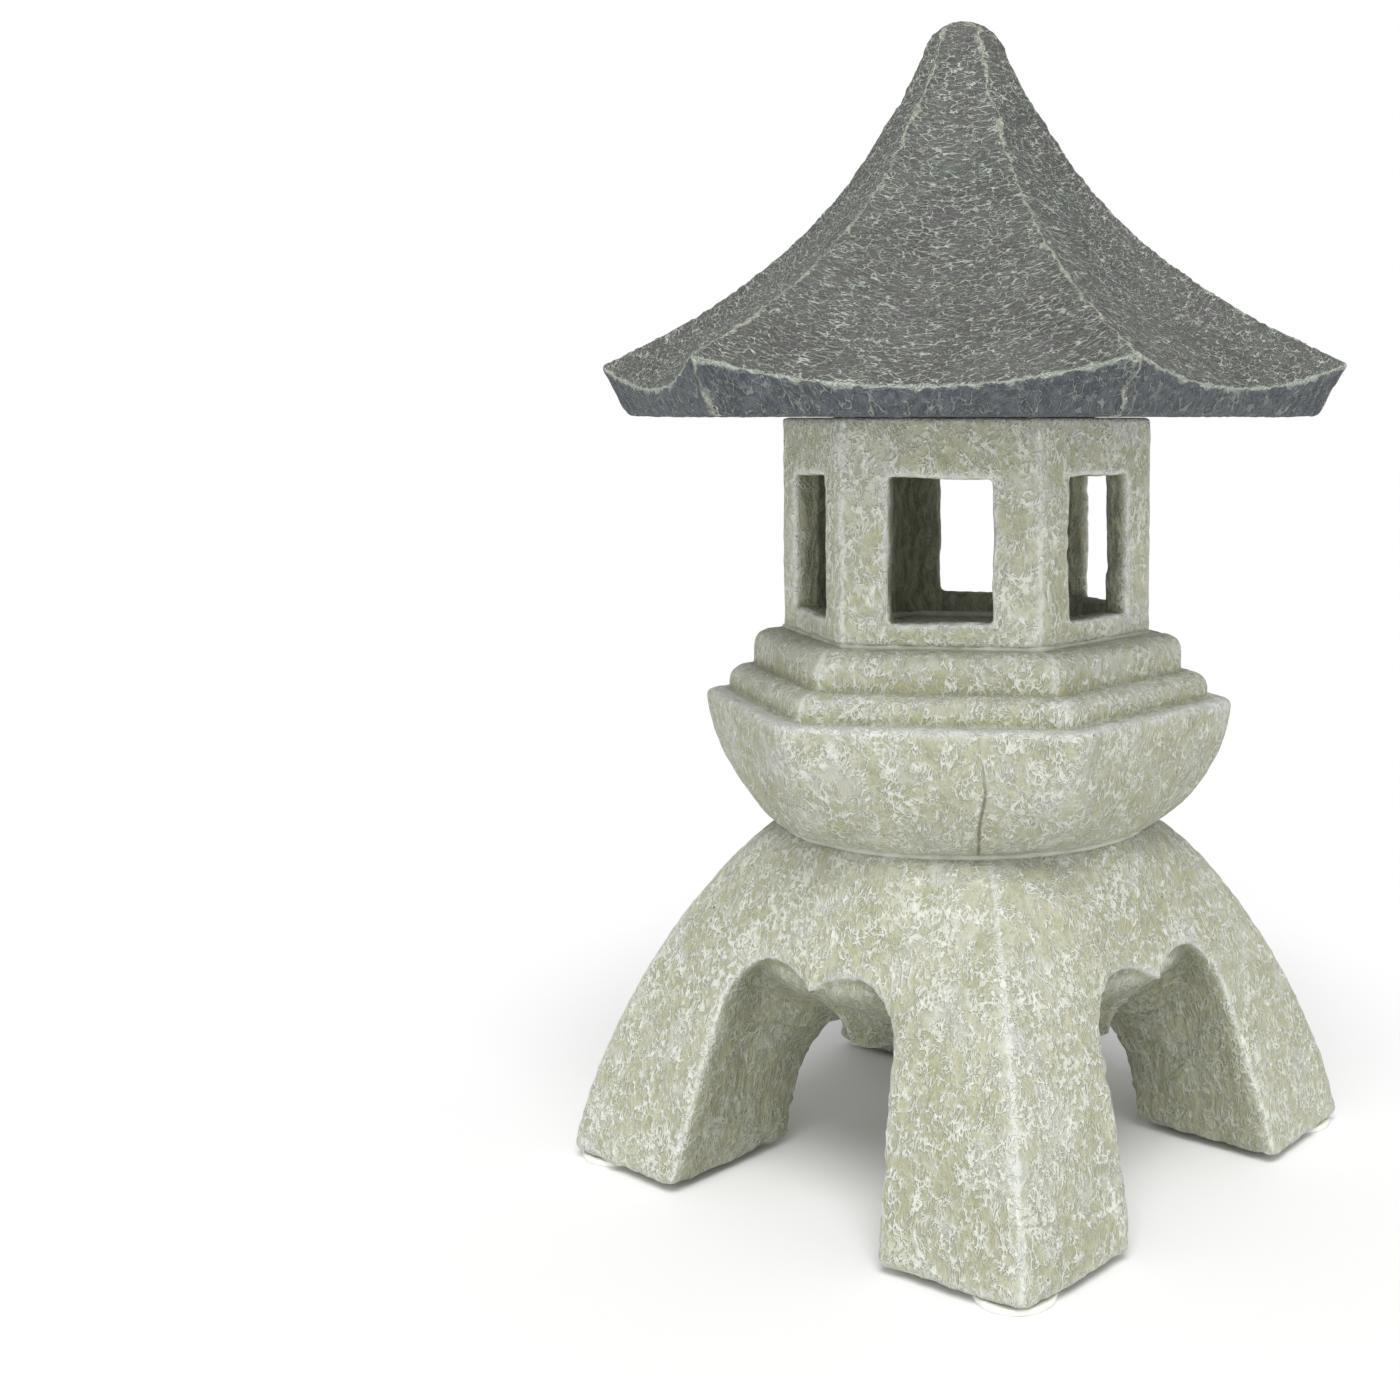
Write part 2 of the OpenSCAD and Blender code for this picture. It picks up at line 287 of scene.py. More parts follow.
LOOSE_GAP = 0.3 * MM
ROOF_Z = chamber_high.z + LOOSE_GAP
SOFFIT_CORNER_R = 189.5 * MM
EAVE_CORNER_Z = ROOF_Z + 28.7 * MM
EAVE_SAG = 14 * MM
TIP_R = 0.025
NECK_ANGLE = math.radians(18)
TIP_Z = roof_high.z - TIP_R
NECK_R = TIP_R * math.cos(NECK_ANGLE)
NECK_Z = TIP_Z + TIP_R * math.sin(NECK_ANGLE)
FLARE_TAPER = 0.46
FLARE_POWER = 3.07
FLARE_FLATTENING = 0.25
SIDE_HOLLOW = 0.038
RING_R = 0.069
HOLLOW_R = 0.058
HOLLOW_H = 0.062


def flare_width(z):
    """Share of the eave's width that the flare has at a height: 0 at the neck and 1 at the eave."""
    drop = np.clip((NECK_Z - z) / (NECK_Z - EAVE_CORNER_Z), 0, 1.15)
    return mix(drop ** FLARE_POWER, drop, FLARE_TAPER)


def flare_corner(z):
    """Distance from the axis to the roof's ridge lines."""
    return mix(NECK_R, roof_high.x, flare_width(z))


def flare_side(r, angle, z):
    """Distance outside one side of the flare. The middle of a side hangs lower than its corners."""
    across = r * np.sin(angle)
    corner_z = z
    for _ in range(3):
        bow = np.clip(1 - (2 * across / flare_corner(corner_z)) ** 2, 0, 1)
        corner_z = z + EAVE_SAG * flare_width(corner_z) * bow
    width = flare_width(corner_z)
    corner_r = mix(NECK_R, roof_high.x, width)
    side_r = corner_r * (mix(1, HEX_FLAT, width ** FLARE_FLATTENING) - SIDE_HOLLOW * width)
    out = mix(corner_r * HEX_FLAT, side_r, bow)
    return (r * np.cos(angle) - out) / steepness(flare_corner, corner_z)


def fascia_distance(x, y, z):
    """Distance outside the band under the eave, which leans in towards the underside."""
    lean = (roof_high.x - SOFFIT_CORNER_R) / (EAVE_CORNER_Z - ROOF_Z)
    fascia_r = SOFFIT_CORNER_R + lean * (z - ROOF_Z)
    fascia = sided_wall(x, y, 6, 0, fascia_r, fascia_r * HEX_FLAT, 3 * MM)
    return fascia / math.hypot(1, lean * HEX_FLAT)


def roof_distance(x, y, z):
    """Distance outside the roof, its locating ring and the hollow under it."""
    r, angle = fold(x, y, 6, 0)
    flare = soft_max(flare_side(r, angle, z), flare_side(r, math.pi / 3 - angle, z), 2 * MM)
    flare = np.maximum(flare, z - NECK_Z)
    tip = np.hypot(r, z - TIP_Z) - TIP_R
    stone = soft_max(np.minimum(flare, tip), fascia_distance(x, y, z), 2.5 * MM)
    stone = soft_max(stone, ROOF_Z - z, 3 * MM)
    ring = np.maximum(r - RING_R, np.maximum(roof_low.z - z, z - ROOF_Z - 5 * MM))
    stone = soft_min(stone, ring, 2 * MM)
    narrowing = np.clip((z - ROOF_Z) / HOLLOW_H, 0, 1)
    hollow = np.maximum(r - mix(HOLLOW_R, HOLLOW_R / 2, narrowing), z - ROOF_Z - HOLLOW_H)
    return soft_max(stone, -hollow, 3 * MM)


# ---------------- meshing a distance function

def surface_net(distance, low, high, cell):
    """Points and quads of the surface where distance() is zero, a point in each cell it crosses."""
    starts = [low[i] - 2 * cell for i in range(3)]
    counts = [int(math.ceil((high[i] - low[i]) / cell)) + 5 for i in range(3)]
    axes = [start + cell * np.arange(count) for start, count in zip(starts, counts)]
    value = distance(axes[0][:, None, None], axes[1][None, :, None], axes[2][None, None, :])
    cells = [count - 1 for count in counts]
    corners = []
    crossings = []
    for axis in range(3):
        first = np.take(value, range(0, counts[axis] - 1), axis)
        second = np.take(value, range(1, counts[axis]), axis)
        crossed = np.argwhere((first < 0) != (second < 0))
        before = first[tuple(crossed.T)]
        after = second[tuple(crossed.T)]
        point = crossed.astype(float)
        point[:, axis] += before / (before - after)
        around = []
        for du, dv in ((0, 0), (1, 0), (1, 1), (0, 1)):
            beside = crossed.copy()
            beside[:, (axis + 1) % 3] -= du
            beside[:, (axis + 2) % 3] -= dv
            around.append(np.ravel_multi_index(beside.T, cells))
        quad = np.stack(around, 1)
        quad[before >= 0] = quad[before >= 0][:, ::-1]
        corners.append(quad)
        crossings.append(point)
    corners = np.concatenate(corners)
    crossings = np.repeat(np.concatenate(crossings), 4, axis=0)
    _, quads = np.unique(corners, return_inverse=True)
    quads = quads.reshape(-1, 4)
    uses = np.bincount(quads.ravel())
    points = [np.bincount(quads.ravel(), crossings[:, i]) / uses for i in range(3)]
    return np.stack(points, 1) * cell + np.array(starts), quads


def gradient(distance, points):
    """The slope of a distance function at each point."""
    step = 0.4 * MM
    slopes = []
    for axis in range(3):
        offset = np.zeros(3)
        offset[axis] = step
        ahead = distance(*(points + offset).T)
        behind = distance(*(points - offset).T)
        slopes.append((ahead - behind) / (2 * step))
    return np.stack(slopes, 1)


def settle(distance, points, reach):
    """Moves points onto the surface, each by at most reach."""
    slope = gradient(distance, points)
    steep = np.maximum((slope ** 2).sum(1), 1e-3)
    move = slope * (distance(*points.T) / steep)[:, None]
    length = np.maximum(np.linalg.norm(move, axis=1), 1e-9)
    return points - move * np.minimum(1, reach / length)[:, None]


def relax(points, quads):
    """Moves points halfway to the mean of the points they share an edge with."""
    total = np.zeros_like(points)
    uses = np.zeros(len(points))
    for side in range(4):
        here = quads[:, side]
        for there in (quads[:, (side + 1) % 4], quads[:, (side + 3) % 4]):
            uses += np.bincount(here, minlength=len(points))
            for axis in range(3):
                total[:, axis] += np.bincount(here, points[there, axis], len(points))
    return mix(points, total / uses[:, None], 0.5)


def bend(distance, points, normals):
    """Mean curvature at each point: above 0 on an arris, and below 0 in a hollow corner."""
    reach = 2.5 * MM
    helper = np.where(np.abs(normals[:, 2:]) < 0.8, [[0, 0, 1]], [[1, 0, 0]])
    first = np.cross(normals, helper)
    first /= np.linalg.norm(first, axis=1)[:, None]
    second = np.cross(normals, first)
    total = 0
    for tangent in (first, second):
        for sign in (-1, 1):
            total = total + distance(*(points + sign * reach * tangent).T)
    return (total - 4 * distance(*points.T)) / (2 * reach * reach)


def noise_at(points, size, seed):
    """Smooth noise from -1 to 1 at each point, with features of about that size."""
    shifted = points / size + seed * np.array([17.3, 9.1, 31.7])
    return np.array([noise.noise(p) for p in shifted.tolist()])


def new_piece(name, points, faces):
    """A smooth-shaded mesh object in the scene."""
    mesh = bpy.data.meshes.new(name)
    mesh.from_pydata(points, [], faces)
    mesh.shade_smooth()
    piece = bpy.data.objects.new(name, mesh)
    bpy.context.scene.collection.objects.link(piece)
    return piece


# ---------------- stones

def laid_flat(points):
    """Points squeezed downhill, so that a roof's tool marks run along its eaves."""
    downhill = np.hypot(points[:, 0], points[:, 1]) - points[:, 2]
    return np.stack([points[:, 0], points[:, 1], 1.6 * downhill], 1)


def laid_upright(points):
    """Points squeezed sideways, so that tool marks run up and down."""
    return points * np.array([1.4, 1.4, 0.7])


def stone_relief(points, laid, edge, seed, swell, tooling, chips):
    """Depth of the hand-tooled relief at each point: broad swells, tool marks and chipped arrises."""
    broad = 0.6 * noise_at(points, 42 * MM, seed) + 0.4 * noise_at(points, 19 * MM, seed + 1)
    marks = 0.5 * noise_at(laid, 9 * MM, seed + 2) + 0.5 * noise_at(laid, 4.5 * MM, seed + 3)
    broken = np.clip(noise_at(points, 8 * MM, seed + 4) - 0.05, 0, 1)
    return swell * (1 - broad) / 2 + tooling * (1 - marks) / 2 + chips * edge * broken


def seat_share(points, normals, seat_r, seats):
    """1 where a stone bears on its neighbours, at the heights in seats and within seat_r of the axis."""
    level = smooth_step(0.5, 0.9, np.abs(normals[:, 2]))
    away = np.min([np.abs(points[:, 2] - seat) for seat in seats], axis=0)
    near = smooth_step(4 * MM, 2 * MM, away)
    return level * near * smooth_step(seat_r + 2 * MM, seat_r, np.hypot(points[:, 0], points[:, 1]))


# Away from the axis the relief is raised by this much, so that tooling doesn't thin a stone much
RELIEF_LIFT = 1.3 * MM
LIFT_FROM_R = 36 * MM
LIFT_FULL_R = 44 * MM
ARRIS_SCALE = 9 * MM
PAINTED_HOLLOW_SHADE_SCALE = 12 * MM


def make_stone(name, node, distance, cell, relief, laid, seat, marks, ridges=None):
    """Meshes a stone from its distance function, tools its surface and stores what materials need.
    relief holds the seed and the depths for stone_relief, laid says how the tool marks run, seat is
    the radius and the heights of its bearing faces, marks are the named values that go on the mesh,
    and ridges adds raised lines, as minus a depth."""
    low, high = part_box(node)
    points, quads = surface_net(distance, low, high, cell)
    for _ in range(2):
        points = settle(distance, points, cell)
    for _ in range(2):
        points = settle(distance, relax(points, quads), cell)
    slope = gradient(distance, points)
    normals = slope / np.linalg.norm(slope, axis=1)[:, None]
    curvature = bend(distance, points, normals)
    edge = np.clip(curvature * ARRIS_SCALE, 0, 1)
    # Hollow corners, where painted shade goes
    painted_hollow_shade = np.clip(-curvature * PAINTED_HOLLOW_SHADE_SCALE, 0, 1)
    depth = stone_relief(points, laid(points), edge, **relief)
    radius = np.hypot(points[:, 0], points[:, 1])
    depth = depth - RELIEF_LIFT * smooth_step(LIFT_FROM_R, LIFT_FULL_R, radius)
    depth = depth * (1 - seat_share(points, normals, *seat))
    if ridges is not None:
        depth = depth + ridges(points)
    moved = np.clip(points - normals * depth[:, None], np.array(low), np.array(high))
    stone = new_piece(name, moved.tolist(), quads.tolist())
    values = {"edge": edge, "painted_hollow_shade": painted_hollow_shade}
    values.update({label: mark(*points.T) for label, mark in marks.items()})
    for label, value in values.items():
        attribute = stone.data.attributes.new(label, "FLOAT", "POINT")
        attribute.data.foreach_set("value", np.asarray(value, np.float32))
    return stone


# What materials read from the stones: signed distances, in metres, from lines along arrises

def corner_offset(sides, turn):
    """A function for the distance from the nearest corner's upright plane, true near that plane."""
    def offset(x, y, z):
        turns = sides / 2
        return np.hypot(x, y) * np.sin(turns * (np.arctan2(y, x) - turn)) / turns
    return offset


def base_brow(x, y, z):
    """0 along the arris between an outer face and a flank, and above 0 on the flank."""
    wall = base_wall(x, y, z)
    return base_underside(x, y, z, wall) - wall


def roof_brow(x, y, z):
    """0 along the eave, and above 0 on the fascia, on the underside and in the hollow."""
    r, angle = fold(x, y, 6, 0)
    underside = z < ROOF_Z + 3 * MM
    hollow = (r < RING_R) & (z < ROOF_Z + HOLLOW_H + 3 * MM)
    return np.where(underside | hollow, roof_high.x, fascia_distance(x, y, z) - flare_side(r, angle, z))


def bowl_brow(x, y, z):
    """0 along the bowl's rim, and above 0 below it."""
    return RIM_Z - z


def chamber_brow(x, y, z):
    """0 along a window's outer edge, and above 0 in the wall's thickness and inside."""
    depth = -hex_wall(x, y, chamber_high.x, 7 * MM)
    return depth - window_distance(x, y, z) * (1 - np.clip(depth / (4 * MM), 0, 1))


def step_foot_shade(x, y, z):
    """1 on the lower part of each step's side, where painted shade goes, and 0 elsewhere."""
    share = 0
    for foot_z in (RIM_Z, LOWER_STEP_Z):
        height = z - foot_z
        rise = smooth_step(0.3 * MM, 2 * MM, height) * smooth_step(9 * MM, 4 * MM, height)
        share = np.maximum(share, rise)
    return share


def no_step_foot_shade(x, y, z):
    """A stone without steps."""
    return 0 * z


def seam_offset(x, y, z):
    """Distance from the mould's parting line on the bowl, which sways a little."""
    sway = 2.2 * MM * noise_at(np.stack([0 * x, 0 * y, z], 1), 17 * MM, 71)
    return x * math.sin(SEAM_ANGLE) - y * math.cos(SEAM_ANGLE) + sway


def seam_relief(points):
    """The thin ridge that the mould's joint left down two opposite sides of the bowl."""
    z = points[:, 2]
    on_bowl = smooth_step(BOWL_Z, BOWL_Z + 4 * MM, z) * smooth_step(RIM_Z - 8 * MM, RIM_Z - 36 * MM, z)
    return -1.2 * MM * np.exp(-(seam_offset(*points.T) / (1.3 * MM)) ** 2) * on_bowl


# ---------------- materials

def srgb(red, green, blue):
    """A colour given from 0 to 255 on screen, as the linear values that shaders use."""
    channels = [c / 255 for c in (red, green, blue)]
    linear = [c / 12.92 if c <= 0.04045 else ((c + 0.055) / 1.055) ** 2.4 for c in channels]
    return (*linear, 1)


class Shader:
    """A material's nodes, with a short call for each kind that the stones need."""

    def __init__(self, name):
        self.material = bpy.data.materials.new(name)
        self.material.use_nodes = True
        self.tree = self.material.node_tree
        self.tree.nodes.clear()

    def add(self, kind, inputs, **settings):
        """Adds a node. An input's value is a socket to link or a constant."""
        node = self.tree.nodes.new(kind)
        for key, value in settings.items():
            setattr(node, key, value)
        for key, value in inputs.items():
            if isinstance(value, bpy.types.NodeSocket):
                self.tree.links.new(value, node.inputs[key])
            else:
                node.inputs[key].default_value = value
        return node

    def position(self):
        """The place on the object, in metres."""
        return self.add("ShaderNodeTexCoord", {}).outputs["Object"]

    def attribute(self, name):
        """A value stored on the mesh."""
        return self.add("ShaderNodeAttribute", {}, attribute_name=name).outputs["Fac"]

    def math(self, operation, a, b=0.0):
        """One step of arithmetic on values."""
        return self.add("ShaderNodeMath", {0: a, 1: b}, operation=operation).outputs[0]

    def vector(self, operation, a, b, c=(0, 0, 0)):
        """One step of arithmetic on vectors. Only MULTIPLY_ADD reads c."""
        return self.add("ShaderNodeVectorMath", {0: a, 1: b, 2: c}, operation=operation).outputs[0]

    def total(self, *parts):
        """The sum of values, each times its own weight."""
        result = self.math("MULTIPLY", *parts[0])
        for value, weight in parts[1:]:
            result = self.math("ADD", result, self.math("MULTIPLY", value, weight))
        return result

    def noise(self, place, size, detail=2.0, rough=0.5):
        """Noise with features of a size, around 0.5."""
        inputs = {"Vector": place, "Scale": 1 / size, "Detail": detail, "Roughness": rough}
        return self.add("ShaderNodeTexNoise", inputs)

    def ramp(self, value, low, high, to_low=0.0, to_high=1.0):
        """A smooth rise from to_low to to_high as the value goes from low to high."""
        inputs = {0: value, 1: low, 2: high, 3: to_low, 4: to_high}
        return self.add("ShaderNodeMapRange", inputs, interpolation_type="SMOOTHSTEP").outputs[0]

    def blend(self, share, a, b, mode="MIX"):
        """Two colours mixed by a share."""
        inputs = {0: share, 6: a, 7: b}
        node = self.add("ShaderNodeMix", inputs, data_type="RGBA", blend_type=mode)
        return node.outputs[2]

    def finish(self, colour, roughness, height, relief, **principled):
        """Ends the material with a surface that has this colour, roughness and bump."""
        bump = self.add("ShaderNodeBump", {"Height": height, "Distance": relief, "Strength": 1.0})
        inputs = {"Base Color": colour, "Roughness": roughness, "Normal": bump.outputs[0]}
        inputs.update({key.replace("_", " "): value for key, value in principled.items()})
        surface = self.add("ShaderNodeBsdfPrincipled", inputs)
        self.add("ShaderNodeOutputMaterial", {"Surface": surface.outputs[0]})
        return self.material


def veins(shader, place, cell, width):
    """A network of wriggly lines around cells of a size, from 0 to 1. The width is a share of it."""
    warp = shader.noise(place, cell * 0.7, 2.0)
    push = shader.vector("MULTIPLY_ADD", warp.outputs["Color"], (cell * 0.9,) * 3, (-cell * 0.45,) * 3)
    warped = shader.vector("ADD", place, push)
    cells = shader.add("ShaderNodeTexVoronoi", {"Vector": warped, "Scale": 1 / cell},
                       feature="DISTANCE_TO_EDGE")
    reach = shader.ramp(shader.noise(place, cell * 1.3).outputs[0], 0.35, 0.65, width * 0.35, width)
    line = shader.math("DIVIDE", cells.outputs[0], reach)
    return shader.ramp(line, 0.2, 1.0, 1.0, 0.0)


def contours(shader, place, size, width):
    """Thin wandering lines where noise crosses its middle value, from 0 to 1."""
    field = shader.noise(place, size, 1.5, 0.5).outputs[0]
    off = shader.math("ABSOLUTE", shader.math("SUBTRACT", field, 0.5))
    return shader.ramp(off, width * 0.2, width, 1.0, 0.0)


def pinholes(shader, place, spacing, size):
    """Small air holes left by casting, from 0 to 1, in one cell of several."""
    cells = shader.add("ShaderNodeTexVoronoi", {"Vector": place, "Scale": 1 / spacing}, feature="F1")
    pick = shader.add("ShaderNodeSeparateColor", {0: cells.outputs["Color"]}).outputs[0]
    chosen = shader.ramp(pick, 0.80, 0.84)
    hole = shader.ramp(cells.outputs["Distance"], size * 0.5, size, 1.0, 0.0)
    return shader.math("MULTIPLY", hole, chosen)


def line_along(shader, offset, reach):
    """1 where a signed distance is near 0, and 0 from reach on."""
    share = shader.math("DIVIDE", shader.math("ABSOLUTE", offset), reach)
    return shader.ramp(share, 0.25, 1.0, 1.0, 0.0)


def sage_lines(s, place, upright):
    """Pale dry-brushed strokes and a network of fine lines, from 0 to 1."""
    strokes = contours(s, upright, 2.3 * MM, 0.09)
    network = veins(s, upright, 4.0 * MM, 0.18)
    lines = s.math("MAXIMUM", s.math("MULTIPLY", strokes, 0.7), network)
    thinned = s.ramp(s.noise(place, 7 * MM, 2.0).outputs[0], 0.36, 0.56, 0.15)
    lines = s.math("MULTIPLY", lines, thinned)
    brushed = s.ramp(s.noise(place, 3.2 * MM, 3.0, 0.65).outputs[0], 0.47, 0.56)
    patches = s.ramp(s.noise(place, 38 * MM, 3.0).outputs[0], 0.5, 0.64)
    brushed = s.math("MULTIPLY", brushed, patches)
    return s.math("MAXIMUM", lines, s.math("MULTIPLY", brushed, 0.9))


def sage_ground(s, place, mottle, shade):
    """The stone's own colour: sage, with olive and lilac patches and darker mottling; the foot of each
    step's side also gets painted shade.
    """
    tone = s.noise(place, 60 * MM, 3.0).outputs[0]
    olive = s.noise(place, 21 * MM, 4.0, 0.6).outputs[0]
    haze = s.noise(s.vector("ADD", place, (0.31, 0.17, 0.43)), 24 * MM, 4.0, 0.62).outputs[0]
    ground = s.blend(s.ramp(tone, 0.38, 0.62), shade(178, 178, 149), shade(192, 192, 165))
    ground = s.blend(s.ramp(olive, 0.5, 0.64, 0.0, 0.75), ground, shade(172, 174, 136))
    ground = s.blend(s.ramp(haze, 0.5, 0.66, 0.0, 0.7), ground, shade(206, 208, 202))
    ground = s.blend(s.ramp(mottle, 0.34, 0.6, 0.35, 0.0), ground, shade(150, 152, 128))
    # The foot of each step's side turns darker olive: painted shade above the tread, broken up by olive
    # patches
    foot = s.math("MULTIPLY", s.attribute("foot"), s.ramp(olive, 0.35, 0.6, 0.35, 0.85))
    return s.blend(foot, ground, shade(170, 170, 128))


def washed_arrises(s, place, brow):
    """The pale wash along corners and outer arrises, from 0 to 1."""
    uneven = s.noise(place, 5 * MM, 2.0).outputs[0]
    ridge = line_along(s, s.attribute("crest"), s.ramp(uneven, 0.35, 0.65, 1.2 * MM, 4 * MM))
    ridge = s.math("MULTIPLY", ridge, s.ramp(brow, 0.0, 3 * MM, 1.0, 0.0))
    lip = line_along(s, brow, s.ramp(uneven, 0.35, 0.65, 0.8 * MM, 3.4 * MM))
    return s.math("MAXIMUM", ridge, lip)


def sage_stone(name, brightness, olive_and_shade_from, olive_and_shade_to, olive_and_shade_share, paint_seam_shadow=False):
    """Sage-green cast stone: dry-brushed strokes over a patchy ground, with washed arrises. Faces
    under a brow turn a darker olive, partly the unwashed stone and partly painted shade, as the
    brow goes from the first given depth to the second, by at most the given share."""
    s = Shader(name)
    place = s.position()
    brow = s.attribute("brow")
    sway = s.noise(place, 24 * MM, 1.0).outputs["Color"]
    swayed = s.vector("MULTIPLY_ADD", sway, (14 * MM,) * 3, place)
    upright = s.vector("MULTIPLY", swayed, (1.0, 1.0, 0.5))
    mottle = s.noise(upright, 4 * MM, 3.0, 0.6).outputs[0]
    grain = s.noise(place, 0.9 * MM, 2.0, 0.6).outputs[0]
    streaks = s.noise(s.vector("MULTIPLY", swayed, (1.0, 1.0, 0.12)), 3.2 * MM, 3.0, 0.6).outputs[0]
    lines = sage_lines(s, place, upright)
    holes = pinholes(s, place, 12 * MM, 0.06)

    def shade(red, green, blue):
        return tuple(c * brightness for c in srgb(red, green, blue)[:3]) + (1,)

    colour = sage_ground(s, place, mottle, shade)
    colour = s.blend(s.math("MULTIPLY", lines, 0.85), colour, shade(233, 236, 227))
    worn = s.math("MULTIPLY", s.attribute("edge"), s.ramp(mottle, 0.35, 0.6, 0.2, 0.6))
    colour = s.blend(worn, colour, shade(226, 229, 222))
    wash = s.math("MULTIPLY", washed_arrises(s, place, brow), 0.6)
    colour = s.blend(wash, colour, shade(232, 235, 229))
    # Hollow corners turn darker olive: painted shade
    colour = s.blend(s.math("MULTIPLY", s.attribute("painted_hollow_shade"), 0.55), colour, shade(146, 147, 116))
    # A dark line along the raised seam: painted shadow of the ridge
    if paint_seam_shadow:
        seam = line_along(s, s.attribute("seam"), 1.3 * MM)
        seam = s.math("MULTIPLY", seam, s.ramp(brow, 8 * MM, 36 * MM))
        colour = s.blend(s.math("MULTIPLY", seam, 0.75), colour, shade(112, 112, 84))
    # Painted shade mixed with the darker olive of unwashed stone, on faces under a brow
    olive_and_painted_shade = s.blend(s.ramp(streaks, 0.38, 0.62), shade(92, 94, 68), shade(146, 148, 122))
    inside = s.ramp(brow, olive_and_shade_from, olive_and_shade_to)
    colour = s.blend(s.math("MULTIPLY", inside, olive_and_shade_share), colour, olive_and_painted_shade)
    colour = s.blend(s.math("MULTIPLY", holes, 0.8), colour, shade(84, 84, 68))

    height = s.total((lines, 0.55), (mottle, 1.3), (grain, 0.3), (holes, -1.0))
    rough = s.ramp(grain, 0.3, 0.7, 0.82, 0.95)
    return s.finish(colour, rough, height, 1.4 * MM)


def slate_stone(name):
    """Slate-grey roof stone: tool marks along the courses, with pale dry-brushed strokes."""
    s = Shader(name)
    place = s.position()
    brow = s.attribute("brow")
    parts = s.add("ShaderNodeSeparateXYZ", {0: place})
    across = s.add("ShaderNodeCombineXYZ", {0: parts.outputs[0], 1: parts.outputs[1]}).outputs[0]
    radius = s.add("ShaderNodeVectorMath", {0: across}, operation="LENGTH").outputs["Value"]
    downhill = s.math("MULTIPLY", s.math("SUBTRACT", radius, parts.outputs[2]), 1.6)
    laid = s.add("ShaderNodeCombineXYZ", {0: parts.outputs[0], 1: parts.outputs[1], 2: downhill})
    sway = s.noise(place, 30 * MM, 1.0).outputs["Color"]
    swayed = s.vector("MULTIPLY_ADD", sway, (16 * MM,) * 3, laid.outputs[0])
    tone = s.noise(place, 70 * MM, 3.0).outputs[0]
    patch = s.noise(place, 19 * MM, 4.0, 0.6).outputs[0]
    mottle = s.noise(swayed, 5 * MM, 3.0, 0.6).outputs[0]
    grain = s.noise(place, 1.1 * MM, 2.0, 0.6).outputs[0]
    uneven = s.noise(place, 7 * MM, 2.0).outputs[0]
    strokes = contours(s, swayed, 4.2 * MM, 0.05)
    network = veins(s, swayed, 6.8 * MM, 0.13)
    lines = s.math("MAXIMUM", s.math("MULTIPLY", strokes, 0.55), network)
    lines = s.math("MULTIPLY", lines, s.ramp(s.noise(swayed, 12 * MM, 2.0).outputs[0], 0.3, 0.5, 0.3))
    band = s.ramp(brow, -0.2 * MM, 1.0 * MM)
    drift = s.noise(place, 9 * MM, 4.0, 0.6).outputs[0]
    wander = s.math("MULTIPLY", s.math("SUBTRACT", drift, 0.5), 16 * MM)
    nicks = s.math("MULTIPLY", s.math("SUBTRACT", mottle, 0.5), 5 * MM)
    ridge = line_along(s, s.math("ADD", s.attribute("crest"), wander),
                       s.ramp(uneven, 0.35, 0.65, 0.9 * MM, 3 * MM))
    ridge = s.math("MULTIPLY", ridge, s.ramp(patch, 0.36, 0.5, 0.35, 1.0))
    eave = line_along(s, s.math("ADD", brow, nicks), s.ramp(uneven, 0.35, 0.65, 0.8 * MM, 3 * MM))

    ground = s.blend(s.ramp(tone, 0.4, 0.6), srgb(92, 92, 88), srgb(108, 109, 103))
    ground = s.blend(s.ramp(patch, 0.52, 0.62, 0.0, 0.6), ground, srgb(98, 94, 100))
    ground = s.blend(s.ramp(patch, 0.46, 0.36, 0.0, 0.55), ground, srgb(90, 104, 98))
    # Darker where the mottle is low, which is where the bump sinks: partly the slate's own mottling and
    # partly painted shade in the relief's hollows
    ground = s.blend(s.ramp(mottle, 0.36, 0.62, 0.45, 0.0), ground, srgb(62, 63, 60))
    dark = s.blend(s.ramp(mottle, 0.35, 0.65), srgb(72, 78, 86), srgb(100, 105, 110))
    ground = s.blend(band, ground, dark)
    strength = s.ramp(band, 0.0, 1.0, 0.9, 0.3)
    lined = s.blend(s.math("MULTIPLY", lines, strength), ground, srgb(194, 200, 189))
    lined = s.blend(s.math("MULTIPLY", ridge, 0.8), lined, srgb(202, 206, 188))
    colour = s.blend(s.math("MULTIPLY", eave, 0.8), lined, srgb(196, 205, 190))

    height = s.total((lines, 0.9), (mottle, 1.8), (grain, 0.25), (ridge, 0.6))
    rough = s.ramp(grain, 0.3, 0.7, 0.68, 0.85)
    return s.finish(colour, rough, height, 2.0 * MM)


def mortar_material():
    """Pale, fine-grained bedding mortar."""
    s = Shader("mortar")
    place = s.position()
    grain = s.noise(place, 1.0 * MM, 3.0, 0.65).outputs[0]
    patch = s.noise(place, 12 * MM, 3.0).outputs[0]
    colour = s.blend(s.ramp(patch, 0.35, 0.65), srgb(188, 191, 174), srgb(208, 211, 198))
    colour = s.blend(s.ramp(grain, 0.5, 0.75, 0.0, 0.4), colour, srgb(180, 180, 160))
    return s.finish(colour, 0.95, grain, 0.5 * MM)


def pad_material():
    """Milky soft plastic pad."""
    s = Shader("foot_pad")
    place = s.position()
    cloud = s.noise(place, 8 * MM, 3.0).outputs[0]
    dust = s.noise(place, 1.2 * MM, 2.0).outputs[0]
    colour = s.blend(s.ramp(cloud, 0.35, 0.65), srgb(236, 237, 228), srgb(246, 247, 240))
    return s.finish(colour, s.ramp(dust, 0.3, 0.7, 0.35, 0.5), dust, 0.06 * MM)


